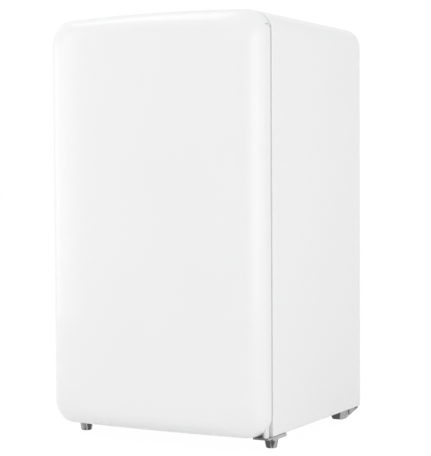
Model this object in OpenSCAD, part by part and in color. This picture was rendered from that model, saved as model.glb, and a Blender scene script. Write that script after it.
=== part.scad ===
// Compact single-door refrigerator with a pillow-shaped door, concealed right-hand hinges,
// glass shelves, a crisper, three door bins and an open compressor bay at the back.
// Units are millimetres. The front faces -Y, +Z is up, and the floor is at z = 0.

/* [Body] */
// Width of the cabinet and the door
body_w = 480; // [470:5:500]
// Height from the floor to the crown of the top
body_h = 840; // [820:5:880]
// Depth from the crown of the door to the wall spacers
body_d = 512; // [504:4:532]
// Rise of the crowned top from its edges to its middle
top_crown = 5; // [2:0.5:8]
// Radius of the two upper edges of the cabinet
corner_r = 40; // [34:1:44]

/* [Door] */
// Depth of the door from its edge plane to its back
door_t = 51.5; // [50:0.5:56]
// Forward bulge of the door face across the width
door_crown = 12; // [6:1:16]
// Width of the rounded margin at the sides of the door
pillow_w = 58; // [40:2:70]
// Height of the rounded margin at the top and bottom of the door
pillow_h = 38; // [28:2:46]
// Depth of the rounded margin
pillow_d = 43; // [30:1:46]
// Radius of the door outline at its corners
door_r = 42; // [38:1:46]
// Gap between the door and the cabinet
seal_gap = 4.5; // [4:0.5:6]

/* [Height above the floor] */
// Height of the underside of the door
door_z0 = 27.5; // [24:0.5:30]
// Step from the underside of the door to the underside of the cabinet
cab_step = 1; // [1:0.5:5]

/* [Insulation] */
// Thickness of the insulated side walls
wall_side = 36; // [32:1:38]
// Thickness of the insulated top
wall_top = 40; // [34:1:44]
// Thickness of the insulated back
wall_back = 42; // [38:1:48]
// Height of the compressor bay above the floor
bay_top = 186; // [180:1:190]
// Depth of the compressor bay
bay_d = 150; // [146:1:154]

/* [Interior] */
// Heights of the four shelf ledges
ledge_z = [236, 384, 496, 636];
// Heights of the undersides of the door bins
bin_z = [262, 512, 652];
// Heights of the door bins
bin_h = [90, 80, 70];
// Depth of the door bins
bin_d = 86; // [70:1:88]

/* [Hidden] */

$fn = 64;
eps = 0.01;
snug = 0.2;                                   // clearance between fixed neighbours
side_x = body_w / 2;
edge_z = body_h - top_crown;                  // height of the top at its outer edges
door_edge_y = -body_d / 2 + door_crown;       // plane of the door face at its side edges
door_y1 = door_edge_y + door_t;               // back of the door
cab_y0 = door_y1 + seal_gap;                  // front flange of the cabinet
rear_y = body_d / 2;                          // face of the wall spacers
rear_space = 28;                              // depth kept behind the back panel
cab_y1 = rear_y - rear_space;                 // back edge of the cabinet
cab_z0 = door_z0 + cab_step;

shell_t = 1;                                  // folded sheet steel
flange_w = 22;                                // front flange of the shell
return_w = 14;                                // bottom flange of the shell
liner_t = 1.6;
liner_x = side_x - wall_side;                 // outer face of the liner's side wall
liner_z0 = 70;
liner_z1 = edge_z - wall_top;
liner_y1 = cab_y1 - wall_back;
liner_r = 8;
bay_y0 = cab_y1 - bay_d;                      // front of the compressor bay
hump_y = bay_y0 - 40;                         // front of the step in the liner
hump_z = bay_top + 36;                        // top of the step in the liner
cavity_x = liner_x - liner_t;                 // inner face of the side wall
ledge_w = 7;
ledge_h = 5;
shelf_y0 = cab_y0 + 88;                       // front edge of the shelves at rest
shelf_y1 = liner_y1 - 6;

skin_t = 1.2;
rear_round = 5;                               // rounding of the door's back edges
pillow_power = 2.5;                           // fullness of the rounded margin
face_r = 55;                                  // outline radius where the flat face begins
pillow_steps = 9;
arc_steps = 8;
top_steps = 10;
return_lip = 12;                              // return flange of the door skin
gasket_in = 14;
gasket_w = 12;
dyke_x = 196;
dyke_w = 16;
dyke_z0 = 84;
dyke_z1 = liner_z1 - 15;
dyke_h = 30;
bin_x = 175;
bin_y0 = door_y1 + 2.5;
bin_t = 2.2;
bin_r = 3;                                    // outer corner radius of the bins and the drawer

axis_x = side_x - 9;                          // door hinge axis
axis_y = door_y1 - 8.5;
pin_r = 3;
running = 0.05;                               // radial clearance of a turning fit
plate_t = 3;
upper_t = 2;                                  // thickness of the upper hinge plate
upper_z = edge_z - 29;                        // underside of the upper hinge plate
slot_gap = 0.5;                               // play above and below the upper hinge plate
lower_z = cab_z0 - plate_t;                   // underside of the lower hinge plate
nose_r = 8.5;
slot_r = 9.4;                                 // reach of the hinge slot around the axis
plate_x0 = axis_x - 24;                       // inner edge of the lower hinge plate
bush_r = 5.5;

foot_x = side_x - 26;
front_foot_y = cab_y0 + 42;
rear_foot_x = side_x - 40;
rear_foot_y = cab_y1 - 13;
stud_r = 4;
lip_h = 3.5;                                  // down-turned edge of the hinge bracket
bracket_y1 = cab_y0 + 58;
comp_x = -50;
comp_y = cab_y1 - 76;
mount_z = cab_z0 + shell_t + snug;            // underside of the compressor plate
mount_t = 2.5;
comp_z0 = mount_z + mount_t + 12;
coil_y = cab_y1 + 14;
coil_runs = 13;
coil_pitch = 44;
coil_z0 = 232;
coil_x = 168;
tube_r = 2.4;
wire_r = 0.8;
wire_pitch = 14;
ctrl_x0 = cavity_x - 36;
ctrl_y0 = -78;
ctrl_y1 = 32;
ctrl_z0 = 712;
ctrl_z1 = 772;
knob_x = cavity_x - 19;
knob_z = 742;
drain_x = -50;
drain_y = liner_y1 - 14;
grip_z0 = 370;
grip_z1 = 510;
grip_d = 13;
grip_y0 = door_y1 - 24;

// ---------------------------------------------------------------- outlines and helpers
function arc(cx, cz, r, a0, a1, n = arc_steps) =
    [for (i = [0:n]) let (a = a0 + (a1 - a0) * i / n) [cx + r * cos(a), cz + r * sin(a)]];

function lift(x) = top_crown * (1 - pow(x / side_x, 2));

// Upper edge of an outline from right to left: corner, crowned top, corner.
function upper_edge(w, z, r) =
    [for (p = concat(
        arc(w - r, z - r, r, 0, 90),
        [for (k = [1:top_steps - 1]) [(w - r) * (1 - 2 * k / top_steps), z]],
        arc(r - w, z - r, r, 90, 180)))
        [p[0], p[1] + lift(p[0])]];

// The cabinet's front outline, drawn in by a margin.
function cabinet_outline(in) =
    concat(
        [[in - side_x, cab_z0 + in], [side_x - in, cab_z0 + in]],
        upper_edge(side_x - in, edge_z - in, max(corner_r - in, 4)));

// A closed door outline: the upper edge, then the lower corners.
function door_outline(dx, dz, r) =
    concat(
        upper_edge(side_x - dx, edge_z - dz, r),
        [for (p = concat(
            arc(r + dx - side_x, door_z0 + dz + r, r, 180, 270),
            [for (k = [1:top_steps - 1]) let (w = side_x - dx - r)
                [w * (2 * k / top_steps - 1), door_z0 + dz]],
            arc(side_x - dx - r, door_z0 + dz + r, r, 270, 360))) p]);

// One ring of the pillow: a runs from 0 at the flat face to 90 at the full outline. The depth
// shortens with the inset, so that the rings stay in order from front to back.
function pillow_ring(a, in, y1) =
    let (s = pow(sin(a), 2 / pillow_power), c = pow(cos(a), 2 / pillow_power),
         dx = in + pillow_w * (1 - s), dz = in + pillow_h * (1 - s),
         r = max(face_r + (door_r - face_r) * sin(a) - in, 4),
         y = door_edge_y + in + (pillow_d - in + y1 - door_y1) * (1 - c))
    [for (p = door_outline(dx, dz, r))
        [p[0], y - door_crown * (1 - pow(p[0] / side_x, 2)), p[1]]];

function edge_ring(y, in) =
    [for (p = door_outline(in, in, max(door_r - in, 4))) [p[0], y, p[1]]];

// Rings of the door's outer surface from the face to its rounded back edge.
function door_rings(in, y1, steps) = concat(
    [for (k = [0:steps]) pillow_ring(90 * k / steps, in, y1)],
    [edge_ring(y1 - rear_round, in),
     edge_ring(y1 - rear_round * (1 - sin(45)), in + rear_round * (1 - cos(45))),
     edge_ring(y1, in + rear_round)]);

function reversed(list) = [for (i = [len(list) - 1:-1:0]) list[i]];

// Triangles between rings k and k + 1 of n points each.
function band(k, n) = [for (i = [0:n - 1]) let (j = (i + 1) % n)
    each [[k * n + i, k * n + j, (k + 1) * n + j], [k * n + i, (k + 1) * n + j, (k + 1) * n + i]]];

// Triangles that close a ring by joining the points above and below each other.
function face_cap(at, n) = [for (i = [0:n / 2 - 2])
    each [[at + i, at + n - 1 - i, at + n - 2 - i], [at + i, at + n - 2 - i, at + i + 1]]];

module ring_solid(rings, end_cap) {
    n = len(rings[0]);
    polyhedron(
        points = [for (ring = rings) each ring],
        faces = concat(
            [for (k = [0:len(rings) - 2]) each band(k, n)],
            face_cap(0, n),
            [for (f = end_cap) reversed(f)]),
        convexity = 4);
}

module door_solid(in, y1) {
    rings = door_rings(in, y1, pillow_steps);
    ring_solid(rings, face_cap((len(rings) - 1) * len(rings[0]), len(rings[0])));
}

// The pressed skin: outer surface, return lip and inner surface in one closed shell.
module door_shell() {
    rings = concat(
        door_rings(0, door_y1, pillow_steps),
        [edge_ring(door_y1, return_lip), edge_ring(door_y1 - skin_t, return_lip)],
        reversed(door_rings(skin_t, door_y1 - skin_t, pillow_steps)));
    ring_solid(rings, face_cap((len(rings) - 1) * len(rings[0]), len(rings[0])));
}

module along_y(y0, y1) {
    translate([0, y1, 0]) rotate([90, 0, 0]) linear_extrude(y1 - y0) children();
}

module along_x(x0, x1) {
    translate([x0, 0, 0]) rotate([90, 0, 90]) linear_extrude(x1 - x0) children();
}

module along_z(z0, z1) {
    translate([0, 0, z0]) linear_extrude(z1 - z0) children();
}

module block(a, b) {
    translate(a) cube(b - a);
}

module rounded(x0, x1, y0, y1, r) {
    translate([x0 + r, y0]) square([x1 - x0 - 2 * r, y1 - y0]);
    translate([x0, y0 + r]) square([x1 - x0, y1 - y0 - 2 * r]);
    for (x = [x0 + r, x1 - r], y = [y0 + r, y1 - r]) translate([x, y]) circle(r);
}

module rod(a, b, r) {
    d = b - a;
    translate(a)
        rotate([0, acos(d[2] / norm(d)), atan2(d[1], d[0])])
        cylinder(h = norm(d), r = r);
}

// A round tube along straight stretches with ball-shaped bends.
module elbowed(path, r) {
    for (i = [0:len(path) - 2]) rod(path[i], path[i + 1], r);
    for (i = [1:len(path) - 2]) translate(path[i]) sphere(r);
}

function unit(v) = v / norm(v);

// A path whose corners are eased over a distance b on each side.
function eased(path, b, n = 4) = concat(
    [path[0]],
    [for (i = [1:len(path) - 2])
        let (p = path[i], a = p + b * unit(path[i - 1] - p), c = p + b * unit(path[i + 1] - p))
        each [for (k = [0:n]) let (t = k / n) (1 - t) * (1 - t) * a + 2 * t * (1 - t) * p + t * t * c]],
    [path[len(path) - 1]]);

function heading(c, i) = unit(c[min(i + 1, len(c) - 1)] - c[max(i - 1, 0)]);

// One sideways direction per point, carried along the curve without twist.
function sideways(c, u, i = 0) = i == len(c) ? [] :
    let (t = heading(c, i), v = unit(u - (u * t) * t)) concat([v], sideways(c, v, i + 1));

// A bent tube swept along an eased path.
module pipe(path, r, b = 10, sides = 10) {
    c = eased(path, b);
    v = sideways(c, [0.3, 0.5, 0.81]);
    rings = [for (i = [0:len(c) - 1]) let (w = cross(heading(c, i), v[i]))
        [for (k = [0:sides - 1]) c[i] + r * (cos(360 * k / sides) * v[i] + sin(360 * k / sides) * w)]];
    last = (len(c) - 1) * sides;
    polyhedron(
        points = [for (ring = rings) each ring],
        faces = concat(
            [[for (k = [0:sides - 1]) k]],
            [for (i = [0:len(c) - 2], k = [0:sides - 1]) let (j = (k + 1) % sides)
                each [[i * sides + k, (i + 1) * sides + k, (i + 1) * sides + j],
                      [i * sides + k, (i + 1) * sides + j, i * sides + j]]],
            [[for (k = [0:sides - 1]) last + sides - 1 - k]]));
}

module mirrored_x() {
    children();
    mirror([1, 0, 0]) children();
}

// ---------------------------------------------------------------- cabinet
module cabinet_shell() {
    color("white") difference() {
        along_y(cab_y0, cab_y1) polygon(cabinet_outline(0));
        along_y(cab_y0 + shell_t, cab_y1 + 1) polygon(cabinet_outline(shell_t));
        along_y(cab_y0 - 1, cab_y0 + 2) polygon(cabinet_outline(flange_w));
        block([return_w - side_x, cab_y0 + shell_t, cab_z0 - 1],
              [side_x - return_w, cab_y1 + 1, cab_z0 + 2]);
        for (z = upper_screw_z()) upper_screw(z, snug);
        upper_neck(0.5);
    }
}

module base_pan() {
    color("silver") difference() {
        block([return_w + snug - side_x, cab_y0 + shell_t, cab_z0],
              [side_x - return_w - snug, bay_y0 - shell_t - snug, cab_z0 + 1.2]);
        mirrored_x() translate([foot_x, front_foot_y, cab_z0 - 1]) cylinder(h = 4, r = 6);
        mirrored_x() for (p = bracket_screws())
            translate([p[0], p[1], cab_z0 - 1]) cylinder(h = 4, r = 2 + snug);
    }
}

module back_panel() {
    color("silver") along_y(cab_y1 - 1, cab_y1) intersection() {
        polygon(cabinet_outline(shell_t + snug));
        translate([-side_x, bay_top]) square([body_w, body_h]);
    }
}

module bay_panel() {
    color("silver") difference() {
        along_x(shell_t + snug - side_x, side_x - shell_t - snug) polygon([
            [bay_y0 - 1, mount_z], [bay_y0, mount_z], [bay_y0, bay_top - 1],
            [cab_y1 - 1 - snug, bay_top - 1], [cab_y1 - 1 - snug, bay_top], [bay_y0 - 1, bay_top]]);
        translate([drain_x, drain_y, bay_top - 3]) cylinder(h = 6, r = 6 + snug);
        translate([suction_x, suction_y, bay_top - 3]) cylinder(h = 6, r = 4);
    }
}

module liner_body(in, y0) {
    intersection() {
        along_x(in - liner_x, liner_x - in) polygon([
            [y0, liner_z0 + in], [hump_y - in, liner_z0 + in], [hump_y - in, hump_z + in],
            [liner_y1 - in, hump_z + in], [liner_y1 - in, liner_z1 - in], [y0, liner_z1 - in]]);
        along_y(y0, liner_y1 + 1)
            rounded(in - liner_x, liner_x - in, liner_z0 + in, liner_z1 - in, liner_r - in);
    }
}

module inner_liner() {
    color("white") difference() {
        union() {
            liner_body(0, cab_y0);
            along_y(cab_y0, cab_y0 + 1.2) polygon(cabinet_outline(flange_w + snug));
        }
        liner_body(liner_t, cab_y0 - 1);
        translate([drain_x, drain_y, hump_z - 1]) cylinder(h = 4, r = 6 + snug);
    }
}

// Ledges bonded to the liner's side walls, two for each shelf.
module shelf_rails() {
    color("white") mirrored_x() for (z = ledge_z)
        block([cavity_x - ledge_w, shelf_y0 + 6, z - ledge_h], [cavity_x - snug, shelf_y1 - 4, z]);
}

module cabinet_foam() {
    gap = shell_t + snug;
    color("khaki") difference() {
        along_y(cab_y0 + 1.2 + snug, cab_y1 - 1 - snug) polygon(cabinet_outline(gap));
        liner_body(-snug, cab_y0 - 1);
        block([-side_x, bay_y0 - gap, 0], [side_x, cab_y1 + 1, bay_top + snug]);
        block([-side_x, cab_y0, 0], [side_x, bay_y0, cab_z0 + 1.2 + snug]);
        block([axis_x - 8, cab_y0, upper_z - 40], [side_x, cab_y0 + 12, upper_z + 8]);
        mirrored_x() translate([foot_x, front_foot_y, cab_z0]) cylinder(h = 26, r = 6);
        mirrored_x() for (p = bracket_screws())
            translate([p[0], p[1], cab_z0]) cylinder(h = 14, r = 2 + snug);
        block([-152, liner_y1, 418], [152, liner_y1 + 4, 742]);
        translate([drain_x, drain_y, bay_top - 1]) cylinder(h = 60, r = 6 + snug);
        translate([suction_x, suction_y, bay_top - 1]) cylinder(h = 24, r = 4);
    }
}

module evaporator_plate() {
    color("silver") {
        block([-150, liner_y1 + snug, 420], [150, liner_y1 + 2, 740]);
        for (k = [0:5]) along_x(-130, 130)
            translate([liner_y1 + 2, 450 + 50 * k]) intersection() {
                circle(3);
                translate([-eps, -4]) square([1.8, 8]);
            }
    }
}

// ---------------------------------------------------------------- hinges and feet
function upper_screw_z() = [upper_z - 27, upper_z - 13];
function bracket_screws() = [
    [side_x - 52, cab_y0 + 12], [side_x - 16, cab_y0 + 14], [side_x - 52, bracket_y1 - 8]];

module upper_screw(z, gap) {
    translate([axis_x, cab_y0, z]) rotate([-90, 0, 0]) {
        cylinder(h = 10, r = 2 + gap);
        cylinder(h = 1.8, r1 = 3.6 + gap, r2 = 2 + gap);
    }
}

module upper_neck(gap) {
    block([axis_x - 5.5 - gap, axis_y, upper_z - gap],
          [axis_x + 5 + gap, cab_y0 + 4 + gap, upper_z + upper_t + gap]);
}

module upper_hinge_bracket() {
    color("white") difference() {
        union() {
            intersection() {
                translate([axis_x, axis_y, upper_z]) cylinder(h = upper_t, r = nose_r);
                block([axis_x - 10, axis_y - 10, upper_z - 1],
                      [axis_x + 5, axis_y + 10, upper_z + upper_t + 1]);
            }
            upper_neck(0);
            block([axis_x - 5.5, cab_y0 + shell_t + 0.3, upper_z - 36],
                  [axis_x + 5, cab_y0 + shell_t + 2.3, upper_z + upper_t]);
        }
        translate([axis_x, axis_y, upper_z - 1]) cylinder(h = upper_t + 2, r = pin_r);
        for (z = upper_screw_z()) upper_screw(z, snug);
    }
}

module foot_plate() {
    difference() {
        along_z(lower_z, lower_z + plate_t) children();
        translate([foot_x, front_foot_y, lower_z - 1]) cylinder(h = plate_t + 2, r = stud_r + running);
        for (p = bracket_screws())
            translate([p[0], p[1], lower_z - 1]) cylinder(h = plate_t + 2, r = 2 + snug);
    }
}

module bracket_tail(inset) {
    translate([side_x - 62, cab_y0]) square([62 - inset, bracket_y1 - cab_y0]);
}

module lower_hinge_bracket() {
    color("silver") difference() {
        union() {
            foot_plate() {
                bracket_tail(1);
                translate([plate_x0, axis_y - nose_r])
                    square([axis_x - plate_x0, cab_y0 - axis_y + nose_r + 1]);
                translate([axis_x, axis_y]) circle(nose_r);
                translate([axis_x - 1, axis_y]) square([nose_r + 1, cab_y0 - axis_y + 1]);
            }
            block([side_x - 3, cab_y0, lower_z - lip_h], [side_x - 1, bracket_y1, lower_z + 1]);
        }
        translate([axis_x, axis_y, lower_z - 1]) cylinder(h = plate_t + 2, r = pin_r);
    }
}

module foot_bracket_left() {
    color("silver") mirror([1, 0, 0]) foot_plate() bracket_tail(9);
}

module hinge_pins() {
    color("lightgray") {
        translate([axis_x, axis_y, lower_z]) cylinder(h = 40, r = pin_r);
        translate([axis_x, axis_y, upper_z + upper_t - 24]) cylinder(h = 24, r = pin_r);
    }
}

module hinge_screws() {
    color("lightgray") {
        for (z = upper_screw_z()) upper_screw(z, 0);
        mirrored_x() for (p = bracket_screws()) translate([p[0], p[1], lower_z - 2]) {
            cylinder(h = 2, r1 = 3.4, r2 = 4);
            cylinder(h = 14, r = 2);
        }
    }
}

module rear_foot_right() {
    top = cab_z0 - snug;
    color("dimgray") translate([rear_foot_x, rear_foot_y, 0]) {
        along_y(-11, 11) polygon([
            [-14, 1], [-13, 0], [8, 0], [9.5, 1], [36, top - 3], [36, top], [-18, top], [-18, 8]]);
        translate([0, 0, top - 4]) cylinder(h = mount_z - top + 4, r = 11);
        translate([0, 0, mount_z - 1]) cylinder(h = mount_t + 3, r = stud_r);
    }
}

module rear_foot_left() { mirror([1, 0, 0]) rear_foot_right(); }

module front_foot(x) {
    color("gray") translate([x, front_foot_y, 0]) difference() {
        rotate_extrude() polygon(concat(
            [[0, 0]], arc(8.5, 2.5, 2.5, -90, 0), [[13, 13], [13, 17]],
            [[9, 18.5], [7, 21], [0, 21]]));
        translate([0, 0, 8]) cylinder(h = 20, r = stud_r);
    }
}

module front_stud(x) {
    color("silver") translate([x, front_foot_y, 8]) cylinder(h = 38, r = stud_r);
}

module front_foot_left() { front_foot(-foot_x); }
module front_foot_right() { front_foot(foot_x); }
module front_stud_left() { front_stud(-foot_x); }
module front_stud_right() { front_stud(foot_x); }

// ---------------------------------------------------------------- cooling machinery
suction_x = -150;
suction_y = cab_y1 - 60;
ear_x = 78;
ear_y = 44;

module at_ears() {
    for (x = [-ear_x, ear_x], y = [-ear_y, ear_y]) translate([comp_x + x, comp_y + y, 0]) children();
}

module compressor_plate() {
    color("silver") difference() {
        block([shell_t + snug - side_x, bay_y0 + 10, mount_z],
              [side_x - shell_t - snug, cab_y1 - 2, mount_z + mount_t]);
        at_ears() translate([0, 0, mount_z - 1]) cylinder(h = 5, r = 4.2);
        mirrored_x() translate([rear_foot_x, rear_foot_y, mount_z - 1]) cylinder(h = 5, r = stud_r + 0.1);
        block([-20, cab_y1 - 26, mount_z - 1], [110, cab_y1 - 12, mount_z + 5]);
    }
}

module compressor_grommets() {
    color("dimgray") at_ears() translate([0, 0, mount_z + mount_t]) difference() {
        cylinder(h = 12, r1 = 11, r2 = 8);
        translate([0, 0, -1]) cylinder(h = 14, r = 4.2);
    }
}

module compressor_bolts() {
    color("silver") at_ears() {
        translate([0, 0, mount_z - 4]) cylinder(h = 4, r = 6.5, $fn = 6);
        translate([0, 0, mount_z - 1]) cylinder(h = comp_z0 - mount_z + 6, r = 4);
        translate([0, 0, comp_z0 + 3]) cylinder(h = 3, r = 8);
    }
}

module compressor() {
    color("black") {
        translate([comp_x, comp_y, comp_z0]) {
            hull() for (x = [-16, 16], s = [[0, 46], [8, 56], [52, 57], [58, 57], [96, 54], [116, 36], [120, 22]])
                translate([x, 0, 4 + s[0]]) cylinder(h = 1, r = s[1], $fn = 48);
            hull() for (x = [-16, 16]) translate([x, 0, 58]) cylinder(h = 4, r = 59.5, $fn = 48);
        }
        difference() {
            along_z(comp_z0, comp_z0 + 3) translate([comp_x, comp_y])
                rounded(-ear_x - 12, ear_x + 12, -ear_y - 9, ear_y + 9, 12);
            at_ears() translate([0, 0, comp_z0 - 1]) cylinder(h = 6, r = 4.2);
        }
        translate([comp_x, comp_y, comp_z0 + 2.5]) cylinder(h = 5, r = 40);
    }
}

module terminal_cover() {
    x = comp_x + 16 + 59.5 + snug;
    color("gray") along_x(x, x + 20) rounded(comp_y - 26, comp_y + 26, comp_z0 + 36, comp_z0 + 92, 8);
}

drier_x = 148;
drier_y = cab_y1 - 34;
drier_z0 = 62;
drier_z1 = 162;
inlet_z = 150;                                // height where the hot gas enters the condenser
module filter_drier() {
    color("peru") translate([drier_x, drier_y, 0]) {
        translate([0, 0, drier_z0]) cylinder(h = 12, r1 = 3, r2 = 9);
        translate([0, 0, drier_z0 + 12]) cylinder(h = drier_z1 - drier_z0 - 24, r = 9);
        translate([0, 0, drier_z1 - 12]) cylinder(h = 12, r1 = 9, r2 = 3);
    }
}

module condenser_tube() {
    coil_z1 = coil_z0 + (coil_runs - 1) * coil_pitch;
    color("dimgray") {
        for (k = [0:coil_runs - 1]) translate([-coil_x, coil_y, coil_z0 + k * coil_pitch])
            rotate([0, 90, 0]) cylinder(h = 2 * coil_x, r = tube_r);
        for (k = [0:coil_runs - 2])
            translate([(k % 2 == 0 ? -1 : 1) * coil_x, coil_y, coil_z0 + (k + 0.5) * coil_pitch])
                rotate([90, 0, 0])
                rotate_extrude(angle = 180, start = k % 2 == 0 ? 90 : -90)
                translate([coil_pitch / 2, 0]) circle(tube_r, $fn = 24);
        elbowed([[-coil_x, coil_y, coil_z1], [-coil_x - 32, coil_y, coil_z1],
              [-coil_x - 32, coil_y, inlet_z], [-coil_x - 32, drier_y, inlet_z]], tube_r);
        elbowed([[coil_x, coil_y, coil_z0], [coil_x + 18, coil_y, coil_z0],
              [coil_x + 18, coil_y, drier_z1 + 12], [coil_x + 18, drier_y, drier_z1 + 12],
              [drier_x, drier_y, drier_z1 + 12], [drier_x, drier_y, drier_z1 + 0.1]], tube_r);
    }
}

module condenser_wires() {
    half = floor((coil_x - 4) / wire_pitch);
    color("dimgray") for (k = [-half:half], s = [-1, 1])
        translate([k * wire_pitch, coil_y + s * (tube_r + wire_r + 0.02), coil_z0 - 12])
            cylinder(h = (coil_runs - 1) * coil_pitch + 24, r = wire_r, $fn = 16);
}

module condenser_clips() {
    color("gray") mirrored_x() for (k = [1, coil_runs - 2])
        block([coil_x - 25, cab_y1, coil_z0 + k * coil_pitch - 5],
              [coil_x - 17, coil_y - tube_r - 0.05, coil_z0 + k * coil_pitch + 5]);
}

module wall_spacers() {
    color("gray") mirrored_x() for (z = [230, 770]) translate([side_x - 22, cab_y1, z])
        rotate([-90, 0, 0]) {
            cylinder(h = 4, r = 13);
            cylinder(h = rear_space, r1 = 9, r2 = 7);
        }
}

module suction_tube() {
    z = comp_z0 + 80;
    color("peru") pipe([
        [comp_x - 70, comp_y, z], [suction_x + 6, comp_y, z], [suction_x, suction_y, z],
        [suction_x, suction_y, bay_top + 22]], 3.2);
}

module discharge_tube() {
    color("peru") pipe([
        [comp_x - 68, comp_y + 12, comp_z0 + 50], [comp_x - 96, comp_y + 24, comp_z0 + 50],
        [-coil_x - 32, drier_y - 24, inlet_z], [-coil_x - 32, drier_y - 0.1, inlet_z]], 2.6);
}

module capillary_tube() {
    color("peru") pipe([
        [drier_x, drier_y, drier_z0 - 0.2], [drier_x, drier_y, drier_z0 - 14],
        [drier_x - 30, drier_y - 24, drier_z0 - 12], [drier_x - 44, drier_y - 44, drier_z0 + 18],
        [drier_x - 30, drier_y - 62, drier_z0 + 48], [drier_x - 8, drier_y - 74, drier_z0 + 78],
        [drier_x, drier_y - 70, bay_top - 3]], 1.2);
}

module drain_tray() {
    z = bay_top - 16.75;
    color("gray") translate([comp_x, comp_y, 0]) difference() {
        along_z(z, z + 13) rounded(-62, 62, -46, 46, 10);
        along_z(z + 2, z + 14) rounded(-60, 60, -44, 44, 8);
    }
}

module drain_tube() {
    color("lightgray") difference() {
        translate([drain_x, drain_y, bay_top - 8]) cylinder(h = hump_z - bay_top + 9, r = 6);
        translate([drain_x, drain_y, bay_top - 9]) cylinder(h = hump_z - bay_top + 12, r = 4);
    }
}

gland_x = side_x - 75;
module cord_gland() {
    color("dimgray") translate([gland_x, cab_y1 - 12, mount_z + mount_t]) difference() {
        union() {
            block([-11, -3, 0], [11, 3, 14]);
            translate([0, -5, 14]) rotate([-90, 0, 0]) cylinder(h = 10, r = 9);
        }
        translate([0, -10, 14]) rotate([-90, 0, 0]) cylinder(h = 20, r = 4);
    }
}

// ---------------------------------------------------------------- controls
module thermostat_housing() {
    color("whitesmoke") difference() {
        along_y(ctrl_y0, ctrl_y1) rounded(ctrl_x0, cavity_x - snug, ctrl_z0, ctrl_z1, 6);
        block([ctrl_x0 + 2, ctrl_y0 + 2, ctrl_z0 + 2], [cavity_x + 1, ctrl_y1 - 2, ctrl_z1 - 2]);
        translate([knob_x, ctrl_y0 - 1, knob_z]) rotate([-90, 0, 0]) cylinder(h = 4, r = pin_r + 0.5);
        block([ctrl_x0 - 1, -50, ctrl_z0 + 12], [ctrl_x0 + 3, 14, ctrl_z1 - 12]);
    }
}

module thermostat_body() {
    color("gray") difference() {
        block([knob_x - 13, ctrl_y0 + 3, knob_z - 16], [knob_x + 15, ctrl_y0 + 42, knob_z + 16]);
        translate([knob_x, ctrl_y0, knob_z]) rotate([-90, 0, 0])
            cylinder(h = 16, r = pin_r + running);
    }
}

module thermostat_knob() {
    color("whitesmoke") translate([knob_x, ctrl_y0 - 0.5, knob_z]) rotate([90, 0, 0]) {
        cylinder(h = 3, r = 15);
        cylinder(h = 12, r1 = 13, r2 = 12);
        translate([-2.2, -12, 0]) cube([4.4, 24, 16]);
        translate([0, 0, -14]) cylinder(h = 15, r = pin_r);
    }
}

module lamp_lens() {
    color("ivory") union() {
        block([ctrl_x0 - 3, -49.5, ctrl_z0 + 12.5], [ctrl_x0 + 1.5, 13.5, ctrl_z1 - 12.5]);
        block([ctrl_x0 + 2.1, -53, ctrl_z0 + 9], [ctrl_x0 + 4, 17, ctrl_z1 - 9]);
        block([ctrl_x0 + 1.4, -49.5, ctrl_z0 + 12.5], [ctrl_x0 + 3, 13.5, ctrl_z1 - 12.5]);
    }
}

// ---------------------------------------------------------------- door
module upper_slot(gap) {
    along_z(upper_z - slot_gap - gap, upper_z + upper_t + slot_gap + gap) {
        translate([axis_x, axis_y]) circle(slot_r + gap);
        translate([axis_x - 7 - gap, axis_y]) square([30, 20]);
        translate([axis_x, axis_y - slot_r - gap]) square([30, 20]);
    }
}

module lower_notch(gap) {
    block([axis_x - 27 - gap, axis_y - 12 - gap, 0], [axis_x - 4 + gap, door_y1 + 1, cab_z0 + 1.8 + gap]);
}

module bush_hole(gap) {
    translate([axis_x, axis_y, upper_z - 24]) cylinder(h = 24, r = bush_r + gap);
    translate([axis_x, axis_y, 0]) cylinder(h = cab_z0 + 38, r = bush_r + gap);
}

module grip_hole(gap) {
    block([-side_x - 1, grip_y0 - gap, grip_z0 - gap], [grip_d + gap - side_x, door_y1 + 1, grip_z1 + gap]);
}

module door_skin() {
    color("white") difference() {
        door_shell();
        block([axis_x - 9, axis_y - slot_r, upper_z - slot_gap],
              [side_x + 1, door_y1 + 1, upper_z + upper_t + slot_gap]);
        lower_notch(0);
        translate([axis_x, axis_y, 0]) cylinder(h = cab_z0 + 30, r = bush_r);
        grip_hole(0);
    }
}

module dyke(in, y0, y1) {
    along_y(y0, y1) difference() {
        rounded(in - dyke_x, dyke_x - in, dyke_z0 + in, dyke_z1 - in, 22 - in);
        rounded(dyke_w - in - dyke_x, dyke_x - dyke_w + in, dyke_z0 + dyke_w - in,
                dyke_z1 - dyke_w + in, 8 + in);
    }
}

module door_liner() {
    lug_x = bin_x + 0.6;
    color("white") {
        difference() {
            union() {
                along_y(door_y1 - liner_t, door_y1)
                    rounded(return_lip + snug - side_x, side_x - return_lip - snug,
                            door_z0 + return_lip + snug, edge_z - return_lip - snug, 30);
                dyke(0, door_y1 - 1, door_y1 + dyke_h);
            }
            dyke(liner_t, door_y1 - 3, door_y1 + dyke_h - liner_t);
            upper_slot(0.5);
            lower_notch(0.5);
            grip_hole(1.5);
        }
        mirrored_x() for (z = bin_z)
            block([lug_x, door_y1 + 5, z + 30], [dyke_x - dyke_w + 0.5, door_y1 + 26, z + 38]);
    }
}

module door_foam() {
    color("khaki") {
        difference() {
            door_solid(skin_t + 2 * snug, door_y1 - liner_t - snug);
            upper_slot(1.5);
            lower_notch(1.5);
            bush_hole(snug);
            grip_hole(1.5);
        }
        dyke(liner_t + snug, door_y1 - liner_t - 1, door_y1 + dyke_h - liner_t - snug);
    }
}

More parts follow.
